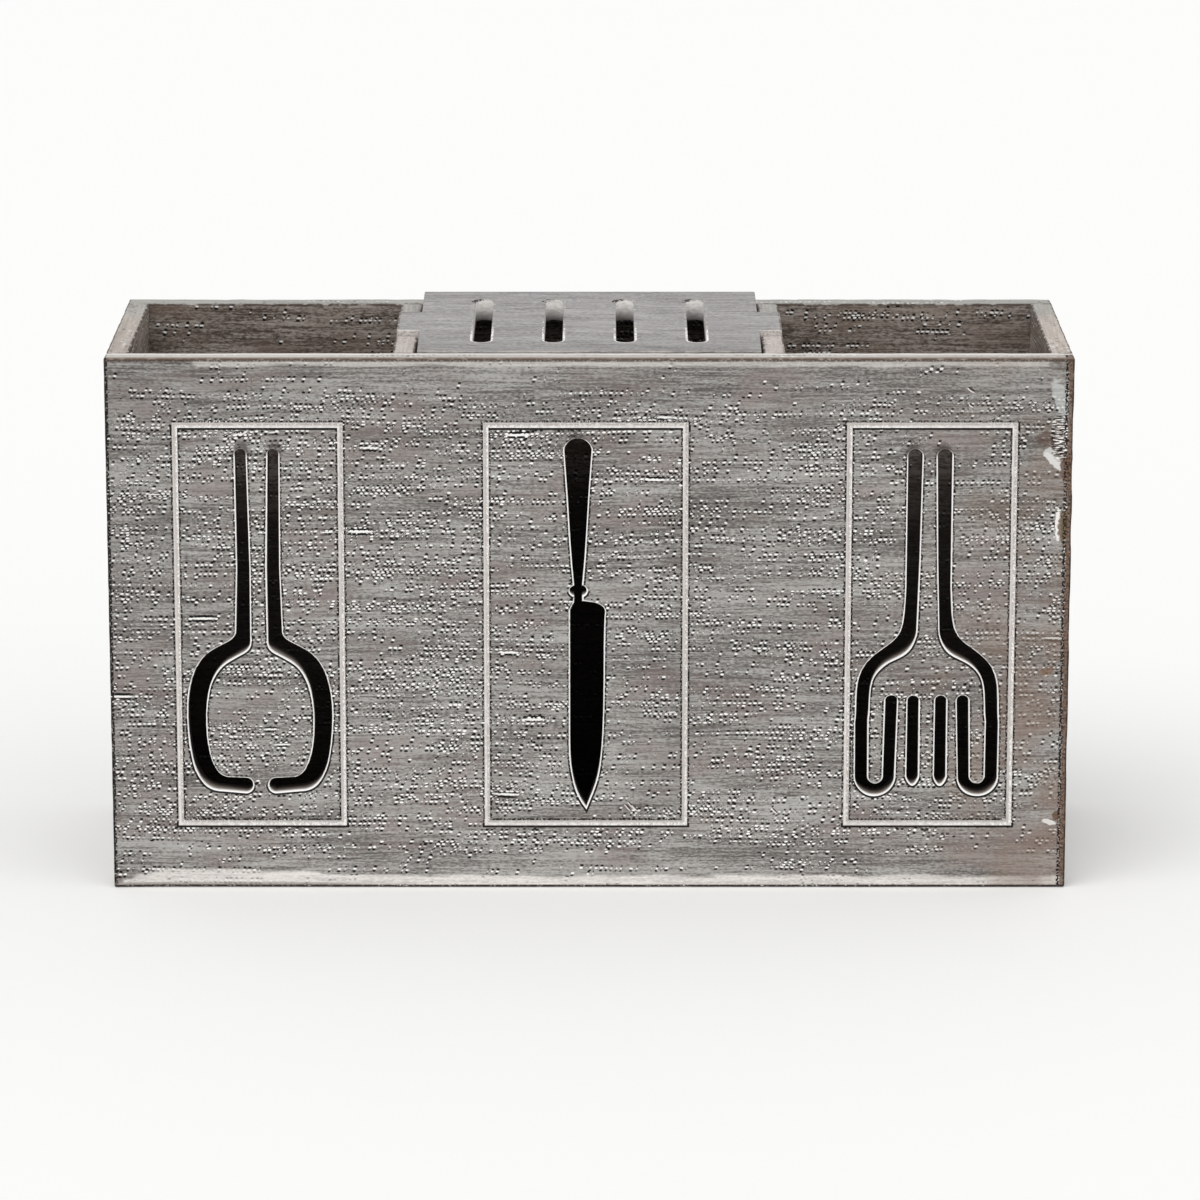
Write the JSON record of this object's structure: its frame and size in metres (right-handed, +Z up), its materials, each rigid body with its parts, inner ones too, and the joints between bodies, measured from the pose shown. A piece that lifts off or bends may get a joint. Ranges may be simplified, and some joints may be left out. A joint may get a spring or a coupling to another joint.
{
  "type": "flatware organizer",
  "caption": "Open-topped wooden cutlery box with compartments side by side, a fretted front board and a lift-off slotted plate that holds knives.",
  "frame": {"origin": "middle of the underside", "axes": "+X along the front board to the right as seen from the front, +Y to the back, +Z up"},
  "size_m": [0.36, 0.12, 0.209],
  "materials": {
    "grey_washed_wood": "weathered grey wash over fine grain, matte, edges rubbed pale",
    "plate_wood": "smooth grey wash, matte",
    "brad_steel": "dull steel"
  },
  "bodies": {
    "box": {"front_board": "grey_washed_wood", "back_board": "grey_washed_wood", "left_side_board": "grey_washed_wood", "right_side_board": "grey_washed_wood", "bottom_board": "grey_washed_wood", "left_divider": "grey_washed_wood", "right_divider": "grey_washed_wood", "left_front_brads": "brad_steel", "right_front_brads": "brad_steel", "left_rear_brads": "brad_steel", "right_rear_brads": "brad_steel", "left_divider_front_brads": "brad_steel", "right_divider_front_brads": "brad_steel", "left_divider_rear_brads": "brad_steel", "right_divider_rear_brads": "brad_steel", "front_floor_brads": "brad_steel", "rear_floor_brads": "brad_steel", "left_floor_brads": "brad_steel", "right_floor_brads": "brad_steel"},
    "knife_plate": {"knife_plate": "plate_wood"}
  },
  "joints": [
    {"name": "knife_plate_lift", "type": "slide", "parent": "box", "child": "knife_plate", "axis": [0, 0, 1], "range_m": [0, 0.06]}
  ]
}
